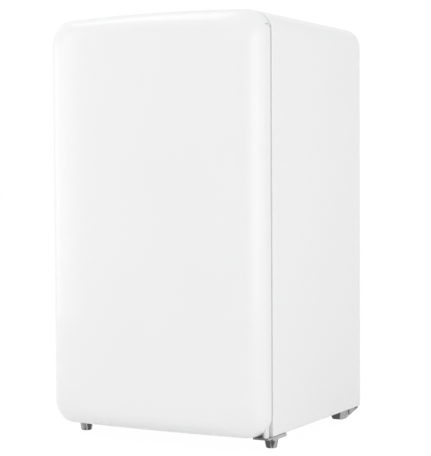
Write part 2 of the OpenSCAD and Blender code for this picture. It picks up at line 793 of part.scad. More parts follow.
module door_gasket() {
    color("gainsboro") along_y(door_y1 + 0.05, cab_y0 - 0.3) difference() {
        rounded(gasket_in - side_x, side_x - gasket_in, door_z0 + gasket_in, edge_z - gasket_in,
                door_r - gasket_in);
        rounded(gasket_in + gasket_w - side_x, side_x - gasket_in - gasket_w,
                door_z0 + gasket_in + gasket_w, edge_z - gasket_in - gasket_w,
                door_r - gasket_in - gasket_w);
    }
}

module upper_hinge_bush() {
    color("lightgray") translate([axis_x, axis_y, 0]) difference() {
        translate([0, 0, upper_z - 24]) cylinder(h = 24 - 1.3, r = bush_r - 0.05);
        translate([0, 0, upper_z - 22]) cylinder(h = 24, r = pin_r + running);
    }
}

module lower_hinge_bush() {
    color("lightgray") translate([axis_x, axis_y, 0]) difference() {
        translate([0, 0, cab_z0 + 0.5]) cylinder(h = 37, r = bush_r - 0.05);
        translate([0, 0, cab_z0]) cylinder(h = lower_z + 42.5 - cab_z0, r = pin_r + running);
    }
}

module hinge_pocket() {
    color("white") difference() {
        intersection() {
            lower_notch(1.3);
            door_solid(skin_t + 2 * snug, door_y1 - skin_t - 0.1);
        }
        lower_notch(0.3);
        bush_hole(0.3);
    }
}

module grip_cup() {
    color("lightgray") difference() {
        intersection() {
            grip_hole(1.3);
            door_solid(skin_t + 2 * snug, door_y1 - skin_t - 0.1);
        }
        grip_hole(-0.1);
    }
}

// ---------------------------------------------------------------- bins, shelves and crisper
module door_bin(k) {
    z = bin_z[k];
    y1 = bin_y0 + bin_d;
    color("aliceblue") {
        difference() {
            along_z(z, z + bin_h[k]) rounded(-bin_x, bin_x, bin_y0, y1, bin_r);
            along_z(z + 2.5, z + bin_h[k] + 1)
                rounded(bin_t - bin_x, bin_x - bin_t, bin_y0 + bin_t, y1 - bin_t, bin_r - bin_t);
        }
        mirrored_x() block([bin_x - 1, bin_y0 + 12, z + 38.3], [bin_x + 4.5, bin_y0 + 24, z + 50]);
        along_y(y1 - 1, y1 + 1.5) rounded(bin_r + 2 - bin_x, bin_x - bin_r - 2, z + bin_h[k] - 9, z + bin_h[k], 2);
    }
}

module bottle_bin() { door_bin(0); }
module middle_bin() { door_bin(1); }
module top_bin() { door_bin(2); }

shelf_x = cavity_x - 1.4;
module shelf_glass(k) {
    color("lightcyan") block(
        [-shelf_x + 2, shelf_y0 + 5, ledge_z[k] + 0.3],
        [shelf_x - 2, shelf_y1 - 4, ledge_z[k] + 4.3]);
}

module shelf_trim(k) {
    z = ledge_z[k];
    color("white") difference() {
        union() {
            along_x(-shelf_x, shelf_x) rounded(shelf_y0, shelf_y0 + 16, z - 3, z + 9, 2.5);
            along_x(-shelf_x, shelf_x) rounded(shelf_y1 - 12, shelf_y1, z + 0.3, z + 9, 2);
        }
        block([1.8 - shelf_x, shelf_y0 + 4.8, z + 0.1], [shelf_x - 1.8, shelf_y1 - 3.8, z + 4.5]);
        block([-shelf_x - 1, shelf_y0 + 5.5, z - 5], [ledge_w + 1.2 - cavity_x, shelf_y0 + 20, z + 0.3]);
        block([cavity_x - ledge_w - 1.2, shelf_y0 + 5.5, z - 5], [shelf_x + 1, shelf_y0 + 20, z + 0.3]);
    }
}

module crisper_glass() { shelf_glass(0); }
module crisper_trim() { shelf_trim(0); }
module lower_shelf_glass() { shelf_glass(1); }
module lower_shelf_trim() { shelf_trim(1); }
module middle_shelf_glass() { shelf_glass(2); }
module middle_shelf_trim() { shelf_trim(2); }
module upper_shelf_glass() { shelf_glass(3); }
module upper_shelf_trim() { shelf_trim(3); }

crisper_x = 190;
crisper_y0 = shelf_y0 + 2;
crisper_z1 = 224;
module crisper_drawer() {
    z0 = liner_z0 + liner_t + 0.8;
    y1 = hump_y - 8;
    color("aliceblue") difference() {
        along_z(z0, crisper_z1) rounded(-crisper_x, crisper_x, crisper_y0, y1, bin_r);
        along_z(z0 + 2.5, crisper_z1 + 1)
            rounded(bin_t - crisper_x, crisper_x - bin_t, crisper_y0 + bin_t, y1 - bin_t, bin_r - bin_t);
    }
}

// The drawer's handle strip, hooked over its front edge.
module crisper_handle() {
    color("white") along_x(-90, 90) translate([crisper_y0, crisper_z1]) polygon([
        [0, -5.5], [0, 0], [bin_t, 0], [bin_t, 2], [-14, 2], [-14, -12], [-11.5, -12], [-11.5, -0.5],
        [-2, -0.5], [-2, -5.5]]);
}

cabinet_shell();
base_pan();
back_panel();
bay_panel();
inner_liner();
shelf_rails();
cabinet_foam();
evaporator_plate();
upper_hinge_bracket();
lower_hinge_bracket();
hinge_pins();
foot_bracket_left();
hinge_screws();
rear_foot_left();
rear_foot_right();
compressor_plate();
compressor_grommets();
compressor_bolts();
compressor();
terminal_cover();
filter_drier();
condenser_tube();
condenser_wires();
condenser_clips();
wall_spacers();
suction_tube();
capillary_tube();
discharge_tube();
drain_tray();
drain_tube();
cord_gland();
thermostat_housing();
thermostat_body();
lamp_lens();
door_skin();
door_foam();
door_liner();
door_gasket();
upper_hinge_bush();
lower_hinge_bush();
hinge_pocket();
grip_cup();
bottle_bin();
middle_bin();
top_bin();
crisper_glass();
crisper_trim();
lower_shelf_glass();
lower_shelf_trim();
middle_shelf_glass();
middle_shelf_trim();
upper_shelf_glass();
upper_shelf_trim();
crisper_drawer();
crisper_handle();
thermostat_knob();
front_foot_left();
front_stud_left();
front_foot_right();
front_stud_right();
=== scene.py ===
"""Looks of a compact single-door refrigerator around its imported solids.

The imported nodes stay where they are. Smooth pieces stand for the pressed door skin, the folded
cabinet shell, the door seal, the compressor and the levelling feet. Every other node keeps its
shape and gets a procedural finish, and small pieces add screws, dial marks and lamp ribs.
"""
import logging
import math
from dataclasses import dataclass, field
from enum import Enum
from typing import Callable, Iterable, Mapping, Sequence

import bmesh
import bpy
from mathutils import Matrix, Vector


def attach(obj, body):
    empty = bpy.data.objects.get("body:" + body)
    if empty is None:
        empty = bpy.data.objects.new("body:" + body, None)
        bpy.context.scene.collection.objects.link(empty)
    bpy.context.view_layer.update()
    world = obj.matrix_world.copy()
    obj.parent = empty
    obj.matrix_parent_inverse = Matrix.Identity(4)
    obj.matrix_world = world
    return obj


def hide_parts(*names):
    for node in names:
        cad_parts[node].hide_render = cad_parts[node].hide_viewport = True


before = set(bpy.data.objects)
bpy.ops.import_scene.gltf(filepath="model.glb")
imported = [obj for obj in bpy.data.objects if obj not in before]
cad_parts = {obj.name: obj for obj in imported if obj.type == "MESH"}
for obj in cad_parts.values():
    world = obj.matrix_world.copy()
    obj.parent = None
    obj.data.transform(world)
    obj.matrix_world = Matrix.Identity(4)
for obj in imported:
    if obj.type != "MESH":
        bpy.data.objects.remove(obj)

LOG = logging.getLogger("refrigerator")
MM = 0.001
POLE_SIDES = 48
WHITE_LIGHT = (1.0, 1.0, 1.0, 1.0)
Ring = list[tuple[float, float, float]]


# ---------------------------------------------------------------- shader maths
class Value:
    """A number or colour socket that Python operators turn into nodes."""

    def __init__(self, graph: "Graph", socket: bpy.types.NodeSocket) -> None:
        """Wraps a socket.

        Args:
            graph: the graph that the socket belongs to.
            socket: an output socket.
        """
        self.graph = graph
        self.socket = socket

    def math(self, operation: str, *others: "Value | float") -> "Value":
        """Adds a Math node.

        Args:
            operation: the Math node's operation.
            others: the operands after this one.

        Returns:
            The node's result.
        """
        return self.graph.math(operation, self, *others)

    def __add__(self, other: "Value | float") -> "Value":
        """This plus other."""
        return self.math("ADD", other)

    def __radd__(self, other: float) -> "Value":
        """Other plus this."""
        return self.math("ADD", other)

    def __sub__(self, other: "Value | float") -> "Value":
        """This less other."""
        return self.math("SUBTRACT", other)

    def __rsub__(self, other: float) -> "Value":
        """Other less this."""
        return self.graph.math("SUBTRACT", other, self)

    def __mul__(self, other: "Value | float") -> "Value":
        """This times other."""
        return self.math("MULTIPLY", other)

    def __rmul__(self, other: float) -> "Value":
        """Other times this."""
        return self.math("MULTIPLY", other)

    def __truediv__(self, other: "Value | float") -> "Value":
        """This over other."""
        return self.math("DIVIDE", other)

    def __rtruediv__(self, other: float) -> "Value":
        """Other over this."""
        return self.graph.math("DIVIDE", other, self)

    def __pow__(self, other: "Value | float") -> "Value":
        """This to the power of other."""
        return self.math("POWER", other)

    def step(self, low: float, high: float) -> "Value":
        """Rises smoothly from 0 at low to 1 at high."""
        return self.graph.output("ShaderNodeMapRange", "Result",
                                 {"interpolation_type": "SMOOTHSTEP"},
                                 {"Value": self, "From Min": low, "From Max": high})


class Graph:
    """A node tree whose nodes all come from one method."""

    def __init__(self, tree: bpy.types.NodeTree) -> None:
        """Empties a tree and takes it over.

        Args:
            tree: the node tree of a material or a world.
        """
        self.tree = tree
        tree.nodes.clear()

    def node(self, kind: str, settings: Mapping[str, object] | None = None,
             inputs: Mapping[str | int, object] | None = None) -> bpy.types.Node:
        """Adds a node, with its settings first and then its sockets.

        Args:
            kind: the node's type.
            settings: attributes of the node.
            inputs: socket name or number to a value or a link.

        Returns:
            The new node.
        """
        node = self.tree.nodes.new(kind)
        for key, value in (settings or {}).items():
            setattr(node, key, value)
        self.feed(node, inputs or {})
        return node

    def feed(self, node: bpy.types.Node, inputs: Mapping[str | int, object]) -> None:
        """Sets or links a node's sockets."""
        for key, value in inputs.items():
            if isinstance(value, Value):
                self.tree.links.new(value.socket, node.inputs[key])
            else:
                node.inputs[key].default_value = value

    def output(self, kind: str, name: str | int = 0, settings: Mapping[str, object] | None = None,
               inputs: Mapping[str | int, object] | None = None) -> "Value":
        """Adds a node and returns one of its outputs."""
        return Value(self, self.node(kind, settings, inputs).outputs[name])

    def math(self, operation: str, *operands: "Value | float") -> "Value":
        """Adds a Math node over operands and returns its result."""
        return self.output("ShaderNodeMath", 0, {"operation": operation}, dict(enumerate(operands)))

    def seen(self) -> "Value":
        """1 on rays that come straight from the camera, a reflection or a clear piece."""
        path = self.node("ShaderNodeLightPath")
        camera, glossy, through = (Value(self, path.outputs[name]) for name in (
            "Is Camera Ray", "Is Glossy Ray", "Is Transmission Ray"))
        return camera.math("MAXIMUM", glossy).math("MAXIMUM", through)

    def blend(self, factor: "Value", first: "Value", second: "Value") -> "Value":
        """Mixes two shaders."""
        return self.output("ShaderNodeMixShader", 0, {}, {0: factor, 1: first, 2: second})


class Shader(Graph):
    """A material with one Principled shader."""

    def __init__(self, name: str) -> None:
        """Makes an empty material.

        Args:
            name: the material's name.
        """
        self.material = bpy.data.materials.new(name)
        self.material.use_nodes = True
        super().__init__(self.material.node_tree)
        self.body = self.node("ShaderNodeBsdfPrincipled")
        self.end = self.node("ShaderNodeOutputMaterial", {},
                             {"Surface": Value(self, self.body.outputs[0])})
        self.place = self.output("ShaderNodeTexCoord", "Object")

    def facing(self, name: str) -> Value:
        """The X, Y or Z part of the surface normal."""
        normal = self.output("ShaderNodeNewGeometry", "Normal")
        return self.output("ShaderNodeSeparateXYZ", name, {}, {0: normal})

    def stretched(self, scale: Sequence[float]) -> Value:
        """Coordinates scaled along each axis."""
        return self.output("ShaderNodeVectorMath", 0, {"operation": "MULTIPLY"},
                           {0: self.place, 1: tuple(scale)})

    def noise(self, scale: float, detail: float = 2.0, place: Value | None = None) -> Value:
        """Noise between 0 and 1, with a cell of about 1/scale metres."""
        return self.output("ShaderNodeTexNoise", "Fac", {"noise_dimensions": "3D"},
                           {"Vector": place or self.place, "Scale": scale, "Detail": detail})

    def cells(self, scale: float, output: str = "Distance") -> Value:
        """Cell pattern with a cell of about 1/scale metres."""
        return self.output("ShaderNodeTexVoronoi", output, {"feature": "F1"},
                           {"Vector": self.place, "Scale": scale})

    def mix(self, factor: Value | float, first: object, second: object) -> Value:
        """Blends two colours."""
        return self.output("ShaderNodeMix", 2, {"data_type": "RGBA"},
                           {"Factor": factor, 6: rgba(first), 7: rgba(second)})

    def bump(self, height: Value, distance: float, strength: float = 1.0) -> Value:
        """Surface normal raised by height, which is in units of distance."""
        return self.output("ShaderNodeBump", 0, {},
                           {"Height": height, "Distance": distance, "Strength": strength})

    def set(self, **sockets: object) -> None:
        """Sets the Principled shader's sockets, with spaces written as underscores."""
        self.feed(self.body, {key.replace("_", " "): value for key, value in sockets.items()})


def rgba(colour: object) -> object:
    """A colour with its alpha, or the value as it is."""
    if isinstance(colour, Value):
        return colour
    return (*colour[:3], 1.0)


def scaled(colour: Sequence[float], factor: float) -> tuple[float, float, float]:
    """A colour times a factor."""
    return tuple(min(1.0, channel * factor) for channel in colour[:3])


# ---------------------------------------------------------------- finishes
@dataclass(frozen=True)
class Finish:
    """A surface finish that makes one material and shares it."""
    name: str
    colour: tuple[float, float, float]
    roughness: float

    def material(self) -> bpy.types.Material:
        """Returns the finish's material, which is made on first use."""
        found = bpy.data.materials.get("finish_" + self.name)
        if found is None:
            shader = Shader("finish_" + self.name)
            shader.set(Roughness=self.roughness)
            self.paint(shader)
            found = shader.material
        return found

    def paint(self, shader: Shader) -> None:
        """Adds the finish's own nodes."""
        raise NotImplementedError


@dataclass(frozen=True)
class GlossPaint(Finish):
    """Powder-coated sheet with a faint orange peel and a clear gloss."""
    peel: float = 0.00002
    peel_scale: float = 420.0
    coat: float = 0.35
    tone: float = 0.006

    def paint(self, shader: Shader) -> None:
        """Tone drifts slowly, and the peel breaks up the gloss."""
        drift = shader.noise(5.0, 2.0).step(0.3, 0.7)
        fine = shader.noise(self.peel_scale, 1.0)
        smudge = shader.noise(38.0, 4.0).step(0.45, 0.75)
        shader.set(Base_Color=shader.mix(drift, scaled(self.colour, 1 - self.tone), self.colour),
                   Roughness=self.roughness + 0.05 * smudge,
                   Normal=shader.bump(fine, self.peel, 0.35),
                   Coat_Weight=self.coat, Coat_Roughness=0.06, Specular_IOR_Level=0.5)


@dataclass(frozen=True)
class Metal(Finish):
    """Bare metal with drawing lines or a zinc bloom."""
    grain: tuple[float, float, float] = (60.0, 60.0, 60.0)
    bloom: float = 0.12
    spangle: float = 0.0
    painted_front_shade: float = 1.0
    painted_reflection_bands: float = 0.0

    def paint(self, shader: Shader) -> None:
        """Lines follow the grain, bloom dulls it in patches, and faces that point front or back get
        painted shade.
        """
        lines = shader.noise(1.0, 3.0, shader.stretched(self.grain))
        patch = shader.noise(24.0, 4.0).step(0.4, 0.75)
        shade = shader.mix(patch * 0.6, self.colour, scaled(self.colour, 1 - self.bloom))
        rough = self.roughness + 0.12 * patch + 0.06 * lines
        if self.spangle:
            level = shader.output("ShaderNodeSeparateColor", 0, {},
                                  {0: shader.cells(self.spangle, "Color")})
            shade = shader.mix(level * 0.35, shade, scaled(self.colour, 1.2))
            rough = rough + 0.1 * level
        # Painted reflection: vertical bands of painted highlight and painted shade stand in for the
        # foot's reflections.
        if self.painted_reflection_bands:
            band = shader.noise(1.0, 2.0, shader.stretched((150.0, 150.0, 12.0))).step(0.42, 0.6)
            shade = shader.mix(band * self.painted_reflection_bands, scaled(self.colour, 0.4), (0.68, 0.68, 0.69))
        # Painted shade: faces that point front or back are darkened, standing for the dark shaded
        # front edge of the plate.
        if self.painted_front_shade < 1.0:
            front = shader.facing("Y").math("ABSOLUTE").step(0.3, 0.8)
            shade = shader.mix(front, shade, scaled(self.colour, self.painted_front_shade))
        shader.set(Base_Color=shade, Metallic=1.0, Roughness=rough,
                   Normal=shader.bump(lines, 0.00003, 0.3))


@dataclass(frozen=True)
class Moulded(Finish):
    """Moulded plastic or rubber with a fine spark-eroded grain."""
    grain: float = 900.0
    depth: float = 0.00004
    tone: float = 0.04
    coat: float = 0.0

    def paint(self, shader: Shader) -> None:
        """Grain dimples the surface, and handling polishes it in patches."""
        dimple = shader.noise(self.grain, 3.0)
        polish = shader.noise(18.0, 3.0).step(0.4, 0.7)
        shader.set(Base_Color=shader.mix(polish, scaled(self.colour, 1 - self.tone), self.colour),
                   Roughness=self.roughness - 0.05 * polish + 0.06 * dimple,
                   Normal=shader.bump(dimple, self.depth, 0.5),
                   Coat_Weight=self.coat, Coat_Roughness=0.1)


@dataclass(frozen=True)
class Clear(Finish):
    """Glass or clear plastic that light passes through."""
    ior: float = 1.46
    haze: float = 0.02

    def paint(self, shader: Shader) -> None:
        """Faint wipe marks lift the roughness."""
        wipes = shader.noise(1.0, 3.0, shader.stretched((9.0, 34.0, 9.0))).step(0.5, 0.8)
        shader.set(Base_Color=shader.mix(wipes * 0.2, self.colour, (0.95, 0.97, 0.97)),
                   Roughness=self.roughness + self.haze * wipes, Transmission_Weight=1.0,
                   IOR=self.ior)


@dataclass(frozen=True)
class Foam(Finish):
    """Rigid insulating foam with open cells where it was cut."""

    def paint(self, shader: Shader) -> None:
        """Cells pit the surface, and painted shade darkens their hollows."""
        cell = shader.cells(260.0)
        depth = cell.step(0.1, 0.7)
        shader.set(Base_Color=shader.mix(depth, scaled(self.colour, 0.78), self.colour),
                   Normal=shader.bump(cell, 0.0004, 0.8))


@dataclass(frozen=True)
class Varnished(Finish):
    """Satin paint that has been baked on, with a trace of dust on upward faces."""
    dust: float = 0.1

    def paint(self, shader: Shader) -> None:
        """Dust gathers where the surface faces up."""
        up = shader.facing("Z").step(0.3, 1.0)
        cloud = shader.noise(60.0, 4.0).step(0.35, 0.7)
        shader.set(Base_Color=shader.mix(up * cloud * self.dust, self.colour, (0.4, 0.38, 0.35)),
                   Roughness=self.roughness + 0.3 * up * cloud,
                   Normal=shader.bump(shader.noise(500.0, 2.0), 0.00003, 0.4))


WHITE = (0.86, 0.86, 0.865)
PAINT = GlossPaint("gloss_white_paint", WHITE, 0.32)
LINER = Moulded("white_liner", (0.85, 0.865, 0.875), 0.3, grain=500.0, depth=0.00002, tone=0.004,
                coat=0.3)
TRIM = Moulded("white_trim", (0.83, 0.84, 0.85), 0.3, tone=0.015, coat=0.2)
GALVANISED = Metal("galvanised_steel", (0.62, 0.63, 0.65), 0.36, (40.0, 40.0, 40.0), 0.1, 90.0)
# The zinc plate's faces that point front or back get painted shade.
ZINC = Metal("zinc_plate", (0.52, 0.52, 0.53), 0.4, (300.0, 60.0, 60.0), painted_front_shade=0.35)
BRIGHT = Metal("bright_steel", (0.74, 0.74, 0.75), 0.2, (80.0, 80.0, 900.0), 0.06)
COPPER = Metal("copper", (0.72, 0.39, 0.25), 0.28, (120.0, 120.0, 120.0), 0.35)
ALUMINIUM = Metal("aluminium", (0.72, 0.73, 0.75), 0.38, (30.0, 30.0, 400.0), 0.06)
RUBBER = Moulded("black_rubber", (0.025, 0.025, 0.026), 0.62, grain=700.0, tone=0.2)
GREY = Moulded("grey_plastic", (0.24, 0.245, 0.255), 0.5, grain=800.0, tone=0.1)
# The foot's dark and light vertical bands are a painted reflection.
FOOT = Metal("foot_metal", (0.22, 0.22, 0.225), 0.24, (260.0, 260.0, 30.0), 0.25, painted_reflection_bands=0.6)
SEAL = Moulded("seal_white", (0.84, 0.845, 0.85), 0.5, grain=600.0, tone=0.03)
NYLON = Moulded("nylon", (0.8, 0.8, 0.79), 0.4, grain=700.0, tone=0.05)
LENS = Moulded("lamp_diffuser", (0.9, 0.9, 0.86), 0.35, grain=300.0, tone=0.02)
BLACK = Varnished("black_paint", (0.018, 0.018, 0.02), 0.34)
COIL = Varnished("coil_paint", (0.028, 0.028, 0.032), 0.42, dust=0.15)
FOAM = Foam("foam", (0.8, 0.72, 0.48), 0.9)
GLASS = Clear("shelf_glass", (0.86, 0.96, 0.94), 0.01, 1.52)
BIN = Clear("clear_bin", (0.86, 0.94, 0.98), 0.06, 1.46, 0.06)

NODE_FINISHES: dict[Finish, tuple[str, ...]] = {
    PAINT: ("cabinet_shell", "door_skin", "upper_hinge_bracket"),
    GALVANISED: ("base_pan", "back_panel", "bay_panel", "compressor_plate"),
    ZINC: ("lower_hinge_bracket", "foot_bracket_left"),
    BRIGHT: ("hinge_pins", "hinge_screws", "compressor_bolts", "front_stud_left",
             "front_stud_right"),
    LINER: ("inner_liner", "shelf_rails", "door_liner", "thermostat_housing", "thermostat_knob"),
    FOAM: ("cabinet_foam", "door_foam"),
    ALUMINIUM: ("evaporator_plate",),
    FOOT: ("front_foot_left", "front_foot_right", "rear_foot_left", "rear_foot_right"),
    BLACK: ("compressor",),
    RUBBER: ("compressor_grommets", "cord_gland"),
    GREY: ("terminal_cover", "drain_tray", "wall_spacers", "condenser_clips",
           "thermostat_body", "grip_cup"),
    COPPER: ("filter_drier", "suction_tube", "capillary_tube", "discharge_tube"),
    COIL: ("condenser_tube", "condenser_wires"),
    SEAL: ("door_gasket",),
    NYLON: ("upper_hinge_bush", "lower_hinge_bush", "hinge_pocket", "drain_tube"),
    BIN: ("bottle_bin", "middle_bin", "top_bin", "crisper_drawer"),
    GLASS: ("crisper_glass", "lower_shelf_glass", "middle_shelf_glass", "upper_shelf_glass"),
    TRIM: ("crisper_handle", "crisper_trim", "lower_shelf_trim", "middle_shelf_trim",
           "upper_shelf_trim"),
    LENS: ("lamp_lens",),
}


SOFT_EDGES: dict[float, tuple[str, ...]] = {
    1.0: ("inner_liner", "door_liner", "terminal_cover"),
    0.7: ("shelf_rails", "crisper_trim", "lower_shelf_trim", "middle_shelf_trim",
          "upper_shelf_trim", "thermostat_housing", "thermostat_knob", "rear_foot_left",
          "rear_foot_right"),
    0.5: ("bottle_bin", "middle_bin", "top_bin", "crisper_drawer", "crisper_handle",
          "lower_hinge_bracket", "foot_bracket_left", "upper_hinge_bracket", "drain_tray"),
}


# ---------------------------------------------------------------- mesh helpers
def smooth_by_angle(mesh: bpy.types.Mesh, degrees: float) -> None:
    """Shades a mesh smooth, with edges sharper than an angle kept sharp."""
    mesh.shade_smooth()
    mesh.set_sharp_from_angle(angle=math.radians(degrees))


def mesh_piece(name: str, points: Iterable[Sequence[float]], faces: Iterable[Sequence[int]],
               degrees: float = 35.0) -> bpy.types.Object:
    """Makes a linked mesh object.

    Args:
        name: the piece's name.
        points: corners in metres.
        faces: corner numbers of each face.
        degrees: edges sharper than this stay sharp.

    Returns:
        The new object.
    """
    mesh = bpy.data.meshes.new(name)
    mesh.from_pydata([tuple(p) for p in points], [], [tuple(f) for f in faces])
    shell = bmesh.new()
    shell.from_mesh(mesh)
    bmesh.ops.recalc_face_normals(shell, faces=shell.faces)
    shell.to_mesh(mesh)
    shell.free()
    smooth_by_angle(mesh, degrees)
    piece = bpy.data.objects.new(name, mesh)
    bpy.context.scene.collection.objects.link(piece)
    return piece


def band(first: int, second: int, count: int) -> list[tuple[int, int, int, int]]:
    """Faces between two closed rings of count points that start at first and second."""
    return [(first + i, first + (i + 1) % count, second + (i + 1) % count, second + i)
            for i in range(count)]


def loft(name: str, rings: Sequence[Ring], closed: bool = False,
         caps: Callable[[int, int], list[tuple[int, ...]]] | None = None,
         degrees: float = 35.0) -> bpy.types.Object:
    """Joins rings of equal length into a shell.

    Args:
        name: the piece's name.
        rings: rings of points in millimetres.
        closed: whether the last ring joins the first.
        caps: makes the faces that close the end rings from a start and a count.
        degrees: edges sharper than this stay sharp.

    Returns:
        The new object.
    """
    count = len(rings[0])
    points = [(x * MM, y * MM, z * MM) for ring in rings for x, y, z in ring]
    faces: list[tuple[int, ...]] = []
    for k in range(len(rings) - 1):
        faces += band(k * count, (k + 1) * count, count)
    if closed:
        faces += band((len(rings) - 1) * count, 0, count)
    if caps:
        faces += caps(0, count) + caps((len(rings) - 1) * count, count)
    return mesh_piece(name, points, faces, degrees)


def strip_cap(start: int, count: int) -> list[tuple[int, ...]]:
    """Closes a ring with strips between its upper and lower points."""
    return [(start + i, start + i + 1, start + count - 2 - i, start + count - 1 - i)
            for i in range(count // 2 - 1)]


def fan_cap(start: int, count: int) -> list[tuple[int, ...]]:
    """Closes a flat ring with one face."""
    return [tuple(range(start, start + count))]


def arc(cx: float, cz: float, radius: float, start: float, end: float,
        steps: int) -> list[tuple[float, float]]:
    """Points of an arc in degrees, both ends included."""
    angles = [math.radians(start + (end - start) * i / steps) for i in range(steps + 1)]
    return [(cx + radius * math.cos(a), cz + radius * math.sin(a)) for a in angles]


def cut(piece: bpy.types.Object, cutters: Sequence[bpy.types.Object],
        degrees: float = 35.0) -> None:
    """Takes cutters out of a piece and deletes them."""
    for cutter in cutters:
        boolean = piece.modifiers.new("cut", "BOOLEAN")
        boolean.operation, boolean.solver, boolean.object = "DIFFERENCE", "EXACT", cutter
    bpy.context.view_layer.update()
    graph = bpy.context.evaluated_depsgraph_get()
    result = bpy.data.meshes.new_from_object(piece.evaluated_get(graph))
    piece.modifiers.clear()
    old = piece.data
    piece.data = result
    bpy.data.meshes.remove(old)
    for cutter in cutters:
        bpy.data.objects.remove(cutter)
    smooth_by_angle(piece.data, degrees)


def box_cutter(low: Sequence[float], high: Sequence[float]) -> bpy.types.Object:
    """A box between two corners in millimetres."""
    corners = [(x * MM, y * MM, z * MM) for x in (low[0], high[0]) for y in (low[1], high[1])
               for z in (low[2], high[2])]
    faces = [(0, 1, 3, 2), (4, 6, 7, 5), (0, 4, 5, 1), (2, 3, 7, 6), (0, 2, 6, 4), (1, 5, 7, 3)]
    return mesh_piece("cutter", corners, faces)


def pole_cutter(centre: Sequence[float], radius: float, length: float) -> bpy.types.Object:
    """A round bar that stands on a centre, in millimetres."""
    turns = [2 * math.pi * k / POLE_SIDES for k in range(POLE_SIDES)]
    rings = [[(centre[0] + radius * math.cos(a), centre[1] + radius * math.sin(a), centre[2] + up)
              for a in turns] for up in (0.0, length)]
    return loft("cutter", rings, caps=fan_cap)


def join(piece: bpy.types.Object, others: Sequence[bpy.types.Object],
         degrees: float = 40.0) -> None:
    """Moves the meshes of other pieces into one piece."""
    shell = bmesh.new()
    shell.from_mesh(piece.data)
    for other in others:
        shell.from_mesh(other.data)
        bpy.data.objects.remove(other)
    shell.to_mesh(piece.data)
    shell.free()
    smooth_by_angle(piece.data, degrees)


def lathe(name: str, base: Sequence[float], profile: Sequence[tuple[float, float, float]],
          sides: int, flutes: int, depth: float) -> bpy.types.Object:
    """Turns a profile about a vertical axis.

    Args:
        name: the piece's name.
        base: the axis's foot in millimetres.
        profile: radius, height and share of the flutes at each ring.
        sides: points around a ring.
        flutes: number of flutes around the axis.
        depth: how deep a full flute cuts in.

    Returns:
        The new object.
    """
    rings = []
    for radius, height, share in profile:
        ring = []
        for k in range(sides):
            angle = 2 * math.pi * k / sides
            r = radius - share * depth * max(0.0, math.cos(flutes * angle)) ** 2
            ring.append((base[0] + r * math.cos(angle), base[1] + r * math.sin(angle),
                         base[2] + height))
        rings.append(ring)
    return loft(name, rings, caps=fan_cap, degrees=50.0)


# ---------------------------------------------------------------- cabinet and door
@dataclass
class Body:
    """Sizes that the cabinet and the door share, in millimetres."""
    side_x: float = 240.0
    edge_z: float = 835.0
    top_crown: float = 5.0
    door_edge_y: float = -244.0
    door_back: float = -192.5
    cabinet_front: float = -188.0
    cabinet_back: float = 228.0
    door_z0: float = 27.5
    cabinet_z0: float = 28.5
    hinge_x: float = 231.0
    hinge_y: float = -201.0
    upper_plate_z: float = 806.0
    upper_plate: float = 2.0

    def lift(self, x: float) -> float:
        """Rise of the crowned top at a distance from the middle."""
        return self.top_crown * (1 - (x / self.side_x) ** 2)

    def upper_edge(self, width: float, z: float, radius: float, corner: int,
                   top: int) -> list[tuple[float, float]]:
        """Upper edge from right to left: corner, crowned top, corner."""
        flat = [((width - radius) * (1 - 2 * k / top), z) for k in range(1, top)]
        points = (arc(width - radius, z - radius, radius, 0, 90, corner) + flat
                  + arc(radius - width, z - radius, radius, 90, 180, corner))
        return [(x, height + self.lift(x)) for x, height in points]


